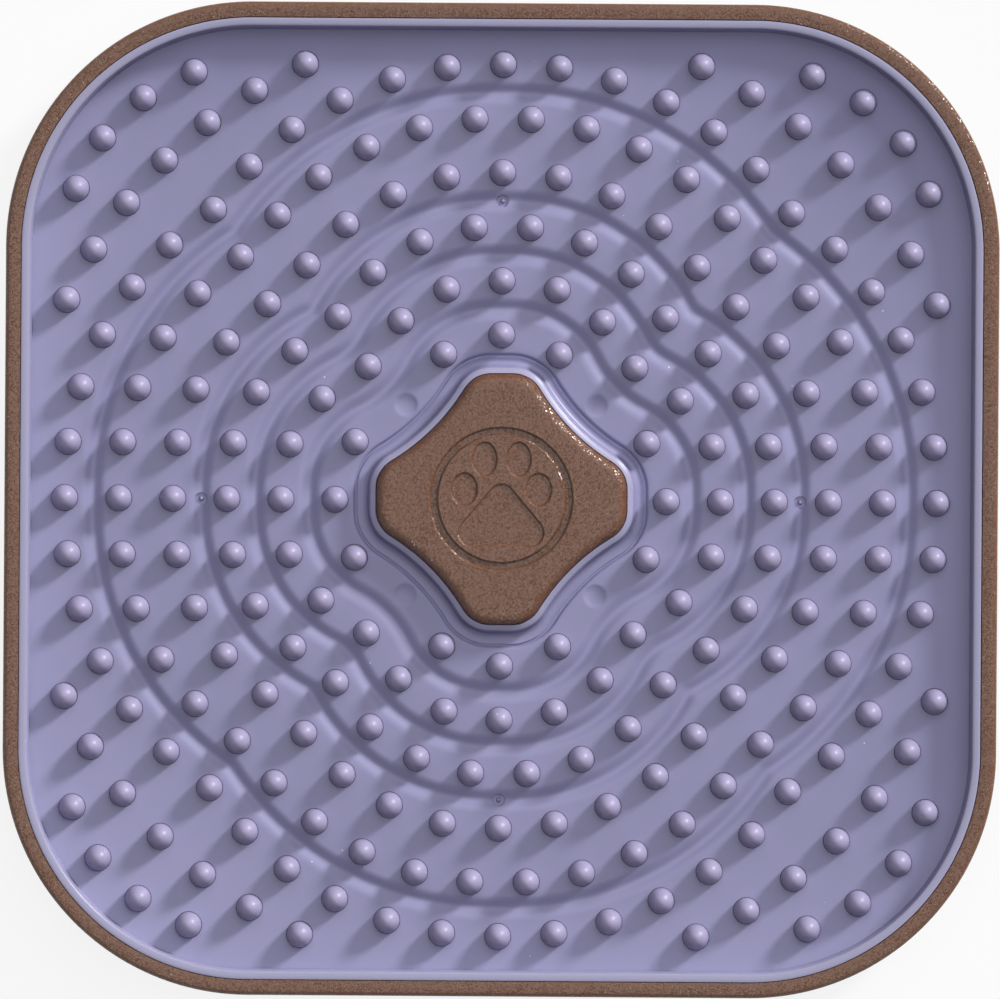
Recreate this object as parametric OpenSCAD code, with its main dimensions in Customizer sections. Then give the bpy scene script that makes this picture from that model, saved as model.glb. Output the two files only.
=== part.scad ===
// Lick mat: a nubbed licking plate that sits in a brown tray round a star-shaped cap.
// The origin is at the middle of the surface the feet stand on, +Z is up,
// and +Y is the side that the toes of the paw point to.

/* [Outline] */
// Width of the tray, equal both ways
mat_w = 200; // [190:1:230]
// Corner radius of the tray
corner_r = 49.5; // [44:0.5:56]

/* [Tray] */
// Width of the rim that shows round the plate
rim_w = 3.2; // [2.6:0.1:4.4]
// Rounding of the rim's outer top edge
rim_round = 0.9; // [0.6:0.1:2]
// How far the rim stays below the plate's lip
rim_drop = 0; // [0:0.1:0.6]
// Thickness of the tray floor
tray_floor_t = 1.8; // [1.4:0.1:2.6]
// Height of the seat that carries the plate above the tray floor
seat_h = 0.8; // [0.6:0.1:1.4]
// Depth of the ribs under the tray floor
rib_h = 1.4; // [1:0.1:2]
// Thickness of every rib
rib_t = 1.6; // [1.2:0.1:2.2]
// Gap between the ribs' lower edge and the table
skirt_lift = 1.1; // [0.8:0.1:1.6]

/* [Plate] */
// Thickness of the plate's sheet
sheet_t = 2; // [1.8:0.1:2.6]
// Height of the lip above the sheet
lip_h = 4.8; // [4.4:0.1:6]
// Width of the lip where it meets the sheet
lip_w = 2.2; // [1.8:0.1:2.4]
// Slope of the lip's inner wall, from foot to top
lip_draft = 0.7; // [0.2:0.1:0.7]
// Clearance between the plate and the tray wall
plate_gap = 0.15; // [0.15:0.05:0.4]

/* [Nubs] */
// Diameter of a nub
nub_d = 5.4; // [4.4:0.1:6]
// Height of a nub above the sheet
nub_h = 4.2; // [3.4:0.1:4.4]
// Distance of the first ring from the middle, on the axes
first_ring = 33.4; // [33:0.1:36]
// Distance from one ring to the next
ring_pitch = 10.9; // [10.4:0.1:11.2]
// Distance between neighbours in the rows that fill the corners
corner_pitch = 11.5; // [10.5:0.1:13]
// Distance of the inner corner row from the tray's outline, on the axes
inner_row_inset = 3.6; // [3:0.1:4.4]
// Distance of the outer corner row from the tray's outline
outer_row_inset = 12.1; // [11:0.1:13]
// Diameter of the shallow dishes over the plate's pegs
dish_d = 4.6; // [4:0.1:5]
// Depth of those dishes
dish_depth = 0.4; // [0.2:0.1:0.6]

/* [Waves] */
// Distance from the middle to the flat sides of the wavy outline that the rings and grooves grow from
wave_reach = 25.4; // [24:0.1:26]
// Corner radius of that outline
wave_r = 5.7; // [5:0.1:6.5]
// Half the width of its flat sides
wave_flat = 2; // [1.4:0.1:3]
// Radius of its hollow sides
wave_bay_r = 35.8; // [32:0.1:40]
// Smallest radius of the hollow sides where the outline is grown
bay_min_r = 3; // [2.6:0.1:4]
// Width of a wavy groove at the surface
groove_w = 4.4; // [2:0.1:4.6]
// Depth of a wavy groove
groove_depth = 0.7; // [0.3:0.1:1]
// How far a groove lies inwards of the middle between two rings of nubs
groove_shift = 0.25; // [0:0.05:0.4]
// Diameter of the four moulding marks
gate_d = 2.5; // [2:0.1:3]
// Diameter of the bead in a moulding mark
gate_bead_d = 1.1; // [0.8:0.1:1.3]

/* [Star] */
// Distance from the middle to the star's flat tips
star_reach = 25.4; // [24:0.1:26]
// Corner radius of a tip
tip_r = 6.5; // [5:0.1:7]
// Half the width of the flat on a tip
tip_flat = 2.1; // [1.4:0.1:3]
// Radius of the hollow side between two tips
bay_r = 43.8; // [36:0.1:50]
// Height of the plate's collar above the sheet
collar_h = 3.3; // [2.4:0.1:3.8]
// Width of the collar's crest
crest_w = 1.2; // [0.8:0.1:1.6]
// Width of the slope outside the crest
collar_slope = 0.8; // [0.8:0.1:1.4]
// Width of the shallow moat round the collar
moat_w = 2.1; // [1.2:0.1:2.4]
// Depth of that moat
moat_depth = 0.4; // [0.2:0.1:0.6]

/* [Cap] */
// Height of the cap above the sheet
cap_h = 4.9; // [4.2:0.1:6]
// Clearance between the cap and the collar
cap_gap = 0.25; // [0.1:0.05:0.4]
// Wall of the cap
cap_wall = 2.2; // [1.8:0.1:2.8]
// Rounding of the cap's top edge
cap_round = 2.1; // [0.6:0.1:2.1]
// Diameter of the cap's stem
stem_d = 12; // [10:0.1:14]
// Clearance round the stem in the tray floor
stem_gap = 0.1; // [0.05:0.05:0.2]
// Wall of the stem
stem_wall = 1.8; // [1.4:0.1:2.4]
// Width of the slots that let the stem spring
stem_slot = 1.6; // [1:0.1:2]
// How far the stem's barb reaches under the tray floor
barb = 0.5; // [0.3:0.1:0.8]

/* [Emblem] */
// Outer diameter of the ring round the paw
ring_d = 28.6; // [26:0.1:30]
// Width of that ring
ring_w = 1.4; // [1:0.1:1.8]
// Depth of the ring and the paw
emblem_depth = 0.5; // [0.2:0.1:0.6]

/* [Feet] */
// Diameter of a foot
foot_d = 20; // [16:0.5:24]
// Distance of each foot's centre from the tray's sides
foot_inset = 34; // [30:0.5:40]
// Clearance round a foot in its cup
foot_gap = 0.1; // [0.05:0.05:0.2]
// Diameter of the hollow under a foot
foot_dish_d = 14; // [10:0.5:15]
// Depth of that hollow
foot_dish_depth = 0.6; // [0.3:0.1:0.8]

/* [Pegs] */
// Diameter of the plate's four pegs
peg_d = 4.6; // [4:0.1:5]
// Length of a peg under the sheet
peg_l = 2.4; // [2:0.1:2.6]
// Clearance round a peg
peg_gap = 0.2; // [0.1:0.05:0.3]
// Wall of the sockets for the pegs
socket_wall = 1.6; // [1.2:0.1:2]

/* [Hidden] */

star_steps = 10;     // points on each eighth of a star outline
slope_steps = 5;     // steps in the collar's slope
round_steps = 4;     // steps in the cap's rounded edge
over = 1;            // overrun of every cut
sink = 0.4;          // how deep a raised shape starts inside its carrier
edge_break = 0.4;    // small chamfer on moulded edges
deg = 180 / PI;

half_w = mat_w / 2;
corner_c = half_w - corner_r;
plate_half = half_w - rim_w - plate_gap;
plate_r = corner_r - rim_w - plate_gap;

// Levels, from the table upwards
z_under = skirt_lift + rib_h;
z_floor = z_under + tray_floor_t;
z_seat = z_floor + seat_h;
z_sheet = z_seat + sheet_t;
z_lip = z_sheet + lip_h;
z_rim = z_lip - rim_drop;
z_cap = z_sheet + cap_h;

// Rings of nubs: each is the star's outline grown by a fixed step
ring_total = floor((plate_half - lip_w - nub_d / 2 - first_ring) / ring_pitch) + 1;
ring_grow = [for (k = [0 : ring_total - 1]) first_ring - wave_reach + k * ring_pitch];
grooves_after = [0, 1, 2, 4];
gate_groove = 2;
groove_grow = [for (k = grooves_after) ring_grow[k] + ring_pitch / 2 - groove_shift];
gate_x = wave_reach + groove_grow[gate_groove];
gate_z = z_sheet - groove_depth - edge_break;
corner_row_n = 7;
outer_row_n = 4;

// Outlines with flat tips, round corners and hollow sides: the place and radius of a corner,
// half the flat between them, and the radius of a hollow side
star_shape = [star_reach - tip_r, tip_flat, tip_r, bay_r];
wave_shape = [wave_reach - wave_r, wave_flat, wave_r, wave_bay_r];
foot_place = half_w - foot_inset;
peg_place = bay_point(ring_grow[0], wave_shape);
peg_spots = [for (a = [45 : 90 : 315]) norm(peg_place) * [cos(a), sin(a)]];
foot_spots = [for (x = [-1, 1]) for (y = [-1, 1]) [x, y] * foot_place];
rib_ring_shares = [0.3, 0.58, 0.86];    // radii of the ribs under the floor, of half the width
seat_ring_shares = [0.44, 0.72];        // radii of the rings that carry the plate
seat_ledge = 2 * lip_w;
nub_dome_share = 0.86;                  // radius of a nub's round top, of half its diameter

brown = [0.47, 0.37, 0.31];
lavender = [0.60, 0.58, 0.76];
dark_rubber = [0.20, 0.18, 0.17];

// The paw, in shares of the radius of the ring round it
inner_toe_shares = [0.24, 0.556];
inner_toe_size_shares = [0.338, 0.473];
outer_toe_shares = [0.523, 0.13];
outer_toe_size_shares = [0.357, 0.453];
pad_top_share = 0.03;
pad_top_r_share = 0.175;
pad_side_shares = [0.395, -0.475];
pad_side_r_share = 0.2;
pad_hollow_r_share = 1.4;
pad_hollow_place_share = -2.065;

// The wavy contours: a shape's outline grown by a distance

// Radius of the hollow side
function bay_radius(grow, shape) = max(shape[3] - grow, bay_min_r);

// X and Y of the centre of the hollow side
function bay_centre(grow, shape) =
    let (reach = shape[2] + grow + bay_radius(grow, shape))
    (shape[0] + shape[1] + sqrt(2 * reach * reach - pow(shape[0] - shape[1], 2))) / 2;

// Angle through which a tip's corner turns before the hollow side starts
function tip_turn(grow, shape) =
    let (q = bay_centre(grow, shape)) atan2(q - shape[1], q - shape[0]);

// Point of the hollow side on the diagonal
function bay_point(grow, shape) =
    let (q = bay_centre(grow, shape) - bay_radius(grow, shape) * cos(45)) [q, q];

// Length of the contour from an axis to the diagonal
function eighth(grow, shape) = shape[1] + (shape[2] + grow) * tip_turn(grow, shape) / deg
    + bay_radius(grow, shape) * (tip_turn(grow, shape) - 45) / deg;

// Point at a distance along the first eighth of the contour
function eighth_point(s, grow, shape) =
    let (rho = shape[2] + grow, bay = bay_radius(grow, shape), q = bay_centre(grow, shape),
         turn = tip_turn(grow, shape), a = (s - shape[1]) / rho * deg,
         b = turn - (a - turn) * rho / bay)
    s <= shape[1] ? [shape[0] + rho, s] :
    a <= turn ? [shape[0] + rho * cos(a), shape[1] + rho * sin(a)] :
    [q - bay * cos(b), q - bay * sin(b)];

// Point at a distance along the whole contour
function contour_point(s, grow, shape) =
    let (part = eighth(grow, shape), quarter = floor(s / (2 * part)), rest = s - 2 * part * quarter,
         p = eighth_point(rest <= part ? rest : 2 * part - rest, grow, shape),
         v = rest <= part ? p : [p[1], p[0]], turn = 90 * quarter)
    [v[0] * cos(turn) - v[1] * sin(turn), v[0] * sin(turn) + v[1] * cos(turn)];

// Number of places in a ring of nubs
function ring_n(k) = k == 0 ? 16 : 18 + 6 * k;

// In the first ring every fourth place, on a diagonal, is left to a dish
function is_dish(k, i) = k == 0 && i % 4 == 2;

ring_spots = [for (k = [0 : ring_total - 1]) for (i = [0 : ring_n(k) - 1])
    if (!is_dish(k, i))
        contour_point(i * 8 * eighth(ring_grow[k], wave_shape) / ring_n(k), ring_grow[k], wave_shape)];

// The corner rows: one on a circle round the middle, one that follows the corner
inner_row_r = half_w - inner_row_inset;
inner_row_step = 2 * asin(corner_pitch / 2 / inner_row_r);
outer_row_r = corner_r - outer_row_inset;
outer_row_step = 2 * asin(corner_pitch / 2 / outer_row_r);

function row_angle(i, n, step) = 45 + (i - (n - 1) / 2) * step;

corner_spots = concat(
    [for (i = [0 : corner_row_n - 1])
        let (a = row_angle(i, corner_row_n, inner_row_step)) inner_row_r * [cos(a), sin(a)]],
    [for (i = [0 : outer_row_n - 1])
        let (a = row_angle(i, outer_row_n, outer_row_step))
        [corner_c, corner_c] + outer_row_r * [cos(a), sin(a)]]);

// Filled square with round corners
module round_square(half, r) {
    square([2 * half, 2 * (half - r)], center = true);
    square([2 * (half - r), 2 * half], center = true);
    for (x = [-1, 1])
        for (y = [-1, 1])
            translate([x, y] * (half - r)) circle(r, $fn = 96);
}

// Sweeps a section along the mat's outline. The section's x is the distance
// from the corner's centre, its y is the height.
module outline_sweep() {
    for (turn = [0 : 90 : 270])
        rotate(turn) {
            rotate([90, 0, 0])
                linear_extrude(2 * corner_c, center = true)
                    translate([corner_c, 0]) children();
            translate([corner_c, corner_c, 0])
                rotate_extrude(angle = 90, $fn = 96) children();
        }
}

// Filled outline of a shape, grown by a distance
module wavy(grow, shape) {
    part = eighth(grow, shape) / star_steps;
    polygon([for (i = [0 : 8 * star_steps - 1]) contour_point(i * part, grow, shape)]);
}

// Flat star, grown by a distance, between two heights
module star_slab(grow, z_low, z_high) {
    translate([0, 0, z_low]) linear_extrude(z_high - z_low) wavy(grow, star_shape);
}

// Section of the rim: a wall with a rounded outer top edge
module rim_section() {
    translate([corner_r - rim_w, skirt_lift]) {
        translate([0, edge_break]) square([rim_w, z_rim - skirt_lift - rim_round - edge_break]);
        square([rim_w - edge_break, z_rim - skirt_lift - rim_round]);
        square([rim_w - rim_round, z_rim - skirt_lift]);
    }
    translate([corner_r - rim_round, z_rim - rim_round]) circle(rim_round, $fn = 48);
}

// Ring-shaped rib
module ring_rib(r, z, h) {
    translate([0, 0, z])
        difference() {
            cylinder(h = h, r = r + rib_t / 2, $fn = 120);
            translate([0, 0, -over]) cylinder(h = h + 2 * over, r = r - rib_t / 2, $fn = 120);
        }
}

// Straight rib under the floor, through the middle
module cross_rib(reach) {
    translate([-reach, -rib_t / 2, skirt_lift]) cube([2 * reach, rib_t, rib_h + sink]);
}

module base_tray() {
    socket_r = peg_d / 2 + peg_gap;
    cup_r = foot_d / 2 + foot_gap;
    hub_r = stem_d / 2 + socket_wall;
    color(brown)
        difference() {
            union() {
                outline_sweep() rim_section();
                translate([0, 0, z_under])
                    linear_extrude(tray_floor_t)
                        round_square(half_w - rim_w / 2, corner_r - rim_w / 2);
                // the ledge and the rings that carry the plate
                outline_sweep()
                    translate([corner_r - rim_w - seat_ledge, z_floor - sink])
                        square([seat_ledge + rim_w / 2, seat_h + sink]);
                for (share = seat_ring_shares) ring_rib(share * half_w, z_floor - sink, seat_h + sink);
                // the ribs under the floor
                for (share = rib_ring_shares) ring_rib(share * half_w, skirt_lift, rib_h + sink);
                for (a = [0, 90]) rotate(a) cross_rib(half_w - rim_w / 2);
                for (a = [45, 135]) rotate(a) cross_rib(norm([foot_place, foot_place]));
                for (p = peg_spots)
                    translate([p[0], p[1], skirt_lift])
                        cylinder(h = z_seat - skirt_lift, r = socket_r + socket_wall, $fn = 48);
                for (p = foot_spots)
                    translate([p[0], p[1], skirt_lift])
                        cylinder(h = rib_h + sink, r = cup_r + rib_t, $fn = 72);
                translate([0, 0, skirt_lift]) cylinder(h = rib_h + sink, r = hub_r + rib_t, $fn = 72);
            }
            for (p = peg_spots)
                translate([p[0], p[1], z_seat - peg_l - peg_gap])
                    cylinder(h = peg_l + peg_gap + over, r = socket_r, $fn = 48);
            for (p = foot_spots)
                translate([p[0], p[1], -over]) cylinder(h = z_under + over, r = cup_r, $fn = 72);
            // the hole for the cap's stem, wider under the floor for the barb
            cylinder(h = z_floor + over, r = stem_d / 2 + stem_gap, $fn = 72);
            cylinder(h = z_under, r = hub_r, $fn = 72);
        }
}

// Nub: a steep cone with a round top
module nub() {
    r = nub_d / 2;
    dome_r = nub_dome_share * r;
    middle = nub_h + sink - dome_r;
    translate([0, 0, -sink])
        rotate_extrude($fn = 32)
            intersection() {
                square([nub_d, nub_h + sink]);
                union() {
                    polygon([[0, 0], [r, 0], [r, sink], [dome_r, middle], [0, middle]]);
                    translate([0, middle]) circle(dome_r, $fn = 48);
                }
            }
}

// Section of the lip: a drafted inner wall and broken edges
module lip_section() {
    outer = plate_r;
    foot = outer - lip_w;
    crest = foot + lip_draft;
    polygon([[foot, z_seat], [foot, z_sheet], [crest, z_lip - edge_break],
             [crest + edge_break, z_lip], [outer - edge_break / 2, z_lip],
             [outer, z_lip - edge_break / 2], [outer, z_seat]]);
}

// The collar round the star, still without its hole: a slope in fine steps up to a crest
module collar() {
    for (i = [0 : slope_steps])
        star_slab(crest_w + collar_slope * (1 - i / slope_steps), z_sheet - moat_depth - sink,
                  z_sheet + collar_h * (i + 1) / (slope_steps + 1));
}

// A wavy groove, in two steps of depth
module groove(grow) {
    for (step = [1, 2])
        translate([0, 0, z_sheet - groove_depth * step / 2])
            linear_extrude(groove_depth + over)
                difference() {
                    wavy(grow + groove_w / 2 / step, wave_shape);
                    wavy(grow - groove_w / 2 / step, wave_shape);
                }
}

// Round dish cut into a flat surface at its own origin
module dish(d, depth) {
    r = (d * d / 4 + depth * depth) / (2 * depth);
    translate([0, 0, r - depth]) sphere(r, $fn = 64);
}

module lick_plate() {
    color(lavender) {
        difference() {
            union() {
                difference() {
                    translate([0, 0, z_seat]) linear_extrude(sheet_t) round_square(plate_half, plate_r);
                    star_slab(crest_w + collar_slope + moat_w, z_sheet - moat_depth, z_sheet + over);
                }
                collar();
            }
            star_slab(0, z_seat - over, z_sheet + collar_h + over);
            for (k = [0 : len(grooves_after) - 1])
                if (grooves_after[k] < ring_total - 1) groove(groove_grow[k]);
            for (p = peg_spots)
                translate([p[0], p[1], z_sheet]) dish(dish_d, dish_depth);
            for (a = [0 : 90 : 270])
                rotate(a)
                    translate([gate_x, 0, gate_z])
                        cylinder(h = z_sheet - gate_z + over, d = gate_d, $fn = 32);
        }
        for (a = [0 : 90 : 270])
            rotate(a)
                translate([gate_x, 0, gate_z]) sphere(d = gate_bead_d, $fn = 32);
        outline_sweep() lip_section();
        for (p = ring_spots) translate([p[0], p[1], z_sheet]) nub();
        for (turn = [0 : 90 : 270])
            rotate(turn)
                for (p = corner_spots) translate([p[0], p[1], z_sheet]) nub();
        for (p = peg_spots)
            translate([p[0], p[1], z_seat - peg_l])
                cylinder(h = peg_l + sink, d = peg_d, $fn = 32);
    }
}

// Outside of the cap, its top edge rounded in fine steps
module cap_body() {
    star_slab(-cap_gap, z_floor, z_cap - cap_round);
    for (i = [1 : round_steps])
        let (a = 90 * i / round_steps)
        star_slab(-cap_gap - cap_round * (1 - cos(90 * (i - 0.5) / round_steps)), z_floor,
                  z_cap - cap_round * (1 - sin(a)));
}

// Outline of an oval toe
module toe(size) {
    polygon([for (a = [0 : 15 : 345]) [size[0] / 2 * cos(a), size[1] / 2 * sin(a)]]);
}

// Outline of a plain paw print
module paw() {
    r = ring_d / 2;
    for (side = [0, 1])
        mirror([side, 0]) {
            translate(inner_toe_shares * r) toe(inner_toe_size_shares * r);
            translate(outer_toe_shares * r) toe(outer_toe_size_shares * r);
        }
    difference() {
        hull() {
            translate([0, pad_top_share] * r) circle(pad_top_r_share * r, $fn = 32);
            for (side = [0, 1])
                mirror([side, 0])
                    translate(pad_side_shares * r) circle(pad_side_r_share * r, $fn = 32);
        }
        translate([0, pad_hollow_place_share] * r) circle(pad_hollow_r_share * r, $fn = 96);
    }
}

module star_cap() {
    stem_r = stem_d / 2;
    stem_end = z_under - 2 * barb;
    color(brown)
        difference() {
            union() {
                difference() {
                    cap_body();
                    star_slab(-cap_gap - cap_wall, z_floor - over, z_cap - cap_wall);
                }
                translate([0, 0, stem_end])
                    cylinder(h = z_cap - cap_wall + sink - stem_end, r = stem_r, $fn = 72);
                translate([0, 0, stem_end])
                    cylinder(h = 2 * barb, r1 = stem_r - barb, r2 = stem_r + barb, $fn = 72);
            }
            translate([0, 0, stem_end - over])
                cylinder(h = z_sheet - stem_end + over, r = stem_r - stem_wall, $fn = 72);
            for (a = [0, 90])
                rotate(a)
                    translate([-stem_d, -stem_slot / 2, stem_end - over])
                        cube([2 * stem_d, stem_slot, z_floor - stem_end + over + seat_h]);
            translate([0, 0, z_cap - emblem_depth])
                linear_extrude(emblem_depth + over) {
                    difference() {
                        circle(d = ring_d, $fn = 120);
                        circle(d = ring_d - 2 * ring_w, $fn = 120);
                    }
                    paw();
                }
        }
}

module foot(x, y) {
    r = foot_d / 2;
    color(dark_rubber)
        translate([x, y, 0] * foot_place)
            difference() {
                union() {
                    translate([0, 0, edge_break]) cylinder(h = z_under - edge_break, r = r, $fn = 72);
                    cylinder(h = edge_break, r1 = r - edge_break, r2 = r, $fn = 72);
                }
                mirror([0, 0, 1]) dish(foot_dish_d, foot_dish_depth);
            }
}

module foot_front_left() {
    foot(-1, -1);
}

module foot_front_right() {
    foot(1, -1);
}

module foot_back_left() {
    foot(-1, 1);
}

module foot_back_right() {
    foot(1, 1);
}

base_tray();
lick_plate();
star_cap();
foot_front_left();
foot_front_right();
foot_back_left();
foot_back_right();
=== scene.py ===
import math
import bpy
import bmesh
import numpy as np
from mathutils import Matrix, Vector


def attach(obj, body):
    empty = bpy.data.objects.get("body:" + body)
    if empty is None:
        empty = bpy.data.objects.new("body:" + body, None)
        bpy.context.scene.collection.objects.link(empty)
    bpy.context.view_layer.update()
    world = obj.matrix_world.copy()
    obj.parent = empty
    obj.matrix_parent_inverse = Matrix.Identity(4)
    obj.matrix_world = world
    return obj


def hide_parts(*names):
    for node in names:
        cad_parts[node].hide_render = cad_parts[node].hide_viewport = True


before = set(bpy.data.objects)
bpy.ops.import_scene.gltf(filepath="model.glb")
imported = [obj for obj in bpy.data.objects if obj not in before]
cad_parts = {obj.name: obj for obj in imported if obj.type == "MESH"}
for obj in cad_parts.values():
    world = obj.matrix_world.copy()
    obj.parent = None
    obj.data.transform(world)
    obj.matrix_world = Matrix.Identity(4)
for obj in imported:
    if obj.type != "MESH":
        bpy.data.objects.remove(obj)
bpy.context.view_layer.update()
print("frame loaded:", sorted(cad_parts))

mm = 0.001  # everything below is worked out in millimetres
fullTurn = 2 * math.pi
overlap = 0.4  # joined parts reach this far into each other
overcut = 1.0  # cutting tools reach this far past a surface
sliver = 0.001  # edges shorter than this are closed up after the cuts

# Heights of the pieces, from the table upwards
level = {
    "skirt": 1.1,
    "underFloor": 2.5,
    "trayFloor": 4.3,
    "seat": 5.1,
    "sheet": 7.1,
    "collar": 10.4,
    "rim": 11.9,
    "lip": 11.9,
    "cap": 12.0,
}

# Node trees: maths on a wrapped socket reads as plain maths


class Wire:
    def __init__(self, desk, socket):
        self.desk = desk
        self.socket = socket

    def calc(self, operation, *others):
        sockets = {index: value for index, value in enumerate((self, *others))}
        return self.desk.put("ShaderNodeMath", {"operation": operation}, sockets)

    def turned(self, operation, other):
        return self.desk.put("ShaderNodeMath", {"operation": operation}, {0: other, 1: self})

    def __add__(self, other):
        return self.calc("ADD", other)

    def __radd__(self, other):
        return self.calc("ADD", other)

    def __sub__(self, other):
        return self.calc("SUBTRACT", other)

    def __rsub__(self, other):
        return self.turned("SUBTRACT", other)

    def __mul__(self, other):
        return self.calc("MULTIPLY", other)

    def __rmul__(self, other):
        return self.calc("MULTIPLY", other)

    def __truediv__(self, other):
        return self.calc("DIVIDE", other)

    def __rtruediv__(self, other):
        return self.turned("DIVIDE", other)

    def __gt__(self, other):
        return self.calc("GREATER_THAN", other)

    def __lt__(self, other):
        return self.calc("LESS_THAN", other)


class Desk:
    def __init__(self, tree):
        self.tree = tree
        tree.nodes.clear()

    def put(self, kind, settings=None, sockets=None, out=0):
        node = self.tree.nodes.new(kind)
        for name, value in (settings or {}).items():
            setattr(node, name, value)
        for name, value in (sockets or {}).items():
            if isinstance(value, Wire):
                self.tree.links.new(value.socket, node.inputs[name])
            else:
                node.inputs[name].default_value = value
        return Wire(self, node.outputs[out]) if len(node.outputs) > out else None

    def blend(self, factor, first, second):
        return self.put("ShaderNodeMix", {"data_type": "RGBA"}, {0: factor, 6: first, 7: second}, 2)


# Outlines

mat = {"halfWidth": 100.0, "cornerRadius": 49.5}

# flat tips, round corners and hollow sides; the waves carry the grooves and the rings of nubs
star = {"reach": 25.33, "tipRadius": 6.5, "tipFlat": 2.1, "bayRadius": 43.8}
waves = {"reach": 25.4, "tipRadius": 5.7, "tipFlat": 2.0, "bayRadius": 35.8}
bayLeast = 3.0  # the hollow sides never curve tighter than this radius


def wavyEighth(shape, grow):
    # from the middle of a tip to the middle of a hollow side: a flat, the tip's arc, the side's arc
    tipX = shape["reach"] - shape["tipRadius"]
    flat = shape["tipFlat"]
    tip = shape["tipRadius"] + grow
    bay = max(shape["bayRadius"] - grow, bayLeast)
    reach = tip + bay
    centre = (tipX + flat + math.sqrt(2 * reach * reach - (tipX - flat) ** 2)) / 2
    turn = math.atan2(centre - flat, centre - tipX)
    length = flat + tip * turn + bay * (turn - math.pi / 4)
    return tipX, flat, tip, bay, centre, turn, length


def eighths(way):
    # way goes from 0 to 8 round a whole outline; each quarter is one eighth and its mirror image
    quarter = int(way // 2) % 4
    rest = way - 2 * (way // 2)
    return quarter, rest > 1, rest if rest <= 1 else 2 - rest


def turnedBack(x, y, quarter, mirrored):
    # from the first eighth to its place in the outline
    if mirrored:
        x, y = y, x
    for _ in range(quarter):
        x, y = -y, x
    return x, y


def wavyPoint(shape, way, grow):
    # a point of the outline, which is grown by a distance
    tipX, flat, tip, bay, centre, turn, length = wavyEighth(shape, grow)
    quarter, mirrored, share = eighths(way)
    along = length * share
    if along <= flat:
        return turnedBack(tipX + tip, along, quarter, mirrored)
    angle = (along - flat) / tip
    if angle <= turn:
        x, y = tipX + tip * math.cos(angle), flat + tip * math.sin(angle)
    else:
        angle = turn - (angle - turn) * tip / bay
        x, y = centre - bay * math.cos(angle), centre - bay * math.sin(angle)
    return turnedBack(x, y, quarter, mirrored)


def wavyLoop(shape, count, grow, z, shrink=1.0):
    points = [wavyPoint(shape, 8 * i / count, grow) for i in range(count)]
    return [(x * shrink, y * shrink, z) for x, y in points]


def squareLoop(count, half, z):
    # rounded square, concentric with the mat's outline
    centre = mat["halfWidth"] - mat["cornerRadius"]
    radius = half - centre
    length = centre + radius * math.pi / 4
    loop = []
    for i in range(count):
        quarter, mirrored, share = eighths(8 * i / count)
        along = length * share
        if along <= centre:
            x, y = half, along
        else:
            angle = (along - centre) / radius
            x, y = centre + radius * math.cos(angle), centre + radius * math.sin(angle)
        loop.append((*turnedBack(x, y, quarter, mirrored), z))
    return loop


def circleLoop(count, radius, z, centre=(0.0, 0.0)):
    angles = [fullTurn * i / count for i in range(count)]
    return [(centre[0] + radius * math.cos(a), centre[1] + radius * math.sin(a), z) for a in angles]


# Meshes


def meshObject(name, points, faces):
    mesh = bpy.data.meshes.new(name)
    mesh.from_pydata([(x * mm, y * mm, z * mm) for x, y, z in points], [], faces)
    shape = bmesh.new()
    shape.from_mesh(mesh)
    bmesh.ops.recalc_face_normals(shape, faces=shape.faces)
    shape.to_mesh(mesh)
    shape.free()
    piece = bpy.data.objects.new(name, mesh)
    bpy.context.scene.collection.objects.link(piece)
    return piece


def loftParts(loops, closed):
    # loops of equal length joined by quads; closed joins the last to the first, else both ends are filled
    count = len(loops[0])
    points = [p for loop in loops for p in loop]
    faces = []
    rows = len(loops)
    for j in range(rows if closed else rows - 1):
        low = j * count
        high = ((j + 1) % rows) * count
        for i in range(count):
            k = (i + 1) % count
            faces.append((low + i, low + k, high + k, high + i))
    if not closed:
        faces.append(tuple(range(count)))
        faces.append(tuple(range((rows - 1) * count, rows * count)))
    return points, faces


def loft(name, loops, closed=True):
    return meshObject(name, *loftParts(loops, closed))


def lathe(name, section, count, centre=(0.0, 0.0), closed=True):
    return loft(name, [circleLoop(count, r, z, centre) for r, z in section], closed)


def boxPiece(name, low, high, turn):
    corners = [(x, y, z) for x in (low[0], high[0]) for y in (low[1], high[1]) for z in (low[2], high[2])]
    cosine, sine = math.cos(turn), math.sin(turn)
    points = [(x * cosine - y * sine, x * sine + y * cosine, z) for x, y, z in corners]
    faces = [(0, 1, 3, 2), (4, 6, 7, 5), (0, 4, 5, 1), (2, 3, 7, 6), (0, 2, 6, 4), (1, 5, 7, 3)]
    return meshObject(name, points, faces)


def bake(piece):
    # the evaluated shape becomes the piece's own mesh
    graph = bpy.context.evaluated_depsgraph_get()
    mesh = bpy.data.meshes.new_from_object(piece.evaluated_get(graph))
    piece.modifiers.clear()
    old = piece.data
    piece.data = mesh
    bpy.data.meshes.remove(old)


def combine(piece, tools, operation):
    for tool in tools:
        step = piece.modifiers.new("combine", "BOOLEAN")
        step.operation = operation
        step.solver = "MANIFOLD"
        step.object = tool
        bake(piece)
        bpy.data.objects.remove(tool, do_unlink=True)


def dropSlivers(piece):
    # the cuts leave a few faces without area; what is left with more than four corners becomes triangles
    work = bmesh.new()
    work.from_mesh(piece.data)
    bmesh.ops.dissolve_degenerate(work, edges=work.edges, dist=sliver * mm)
    bmesh.ops.remove_doubles(work, verts=work.verts, dist=sliver * mm)
    bmesh.ops.triangulate(work, faces=[face for face in work.faces if len(face.verts) > 4])
    work.to_mesh(piece.data)
    work.free()


def shift(piece, place):
    piece.data.transform(Matrix.Translation((place[0] * mm, place[1] * mm, 0.0)))


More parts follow.
